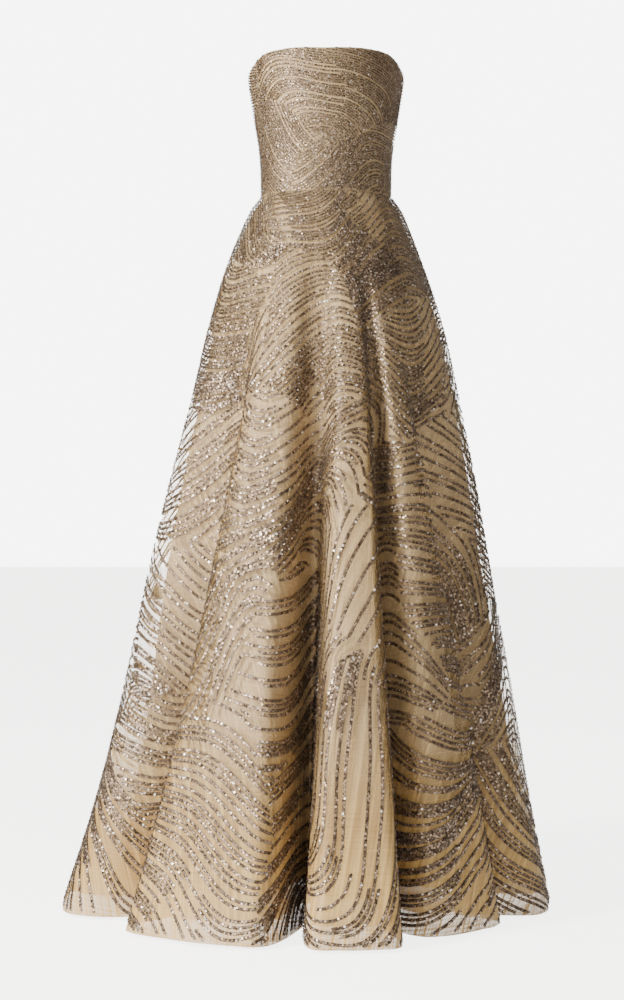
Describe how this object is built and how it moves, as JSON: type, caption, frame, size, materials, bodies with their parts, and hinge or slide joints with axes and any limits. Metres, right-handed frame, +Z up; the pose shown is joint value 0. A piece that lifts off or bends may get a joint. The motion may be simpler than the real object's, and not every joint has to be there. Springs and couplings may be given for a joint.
{
  "type": "strapless gown",
  "caption": "Floor-length strapless gown with a fitted bodice and a flared, deeply folded skirt of embroidered net over a sheer underskirt and an opaque lining.",
  "frame": {"origin": "centre of the waist seam, inside the gown, where the wearer's waist and torso hold it up", "axes": "+Z up through the bodice, -Y out of the gown's front, +X to the wearer's left"},
  "size_m": [0.8343, 0.8728, 1.4482],
  "materials": {
    "embroidered_net": "sheer net covered with rows of metallic thread, sequins and small beads",
    "plain_sheer": "plain sheer organza",
    "lining_satin": "opaque soft satin",
    "zip_metal": "satin antique metal",
    "zip_tape": "woven tape with a closed coil"
  },
  "bodies": {
    "gown": {"bodice_net_front": "embroidered_net", "bodice_net_back_left": "embroidered_net", "bodice_net_back_right": "embroidered_net", "bodice_base_front": "lining_satin", "bodice_base_back_left": "lining_satin", "bodice_base_back_right": "lining_satin", "skirt_net_front": "embroidered_net", "skirt_net_back_left": "embroidered_net", "skirt_net_back_right": "embroidered_net", "underskirt_front": "plain_sheer", "underskirt_back_left": "plain_sheer", "underskirt_back_right": "plain_sheer", "lining_front": "lining_satin", "lining_back_left": "lining_satin", "lining_back_right": "lining_satin", "zip_chain": "zip_tape", "zip_slider": "zip_metal"},
    "pull_tab": {"zip_pull_tab": "zip_metal"}
  },
  "joints": [
    {"name": "pull_tab_swing", "type": "hinge", "parent": "gown", "child": "pull_tab", "pos_m": [0, 0.09827, 0.149], "axis": [1, 0, 0], "range_deg": [-6, 165]}
  ]
}
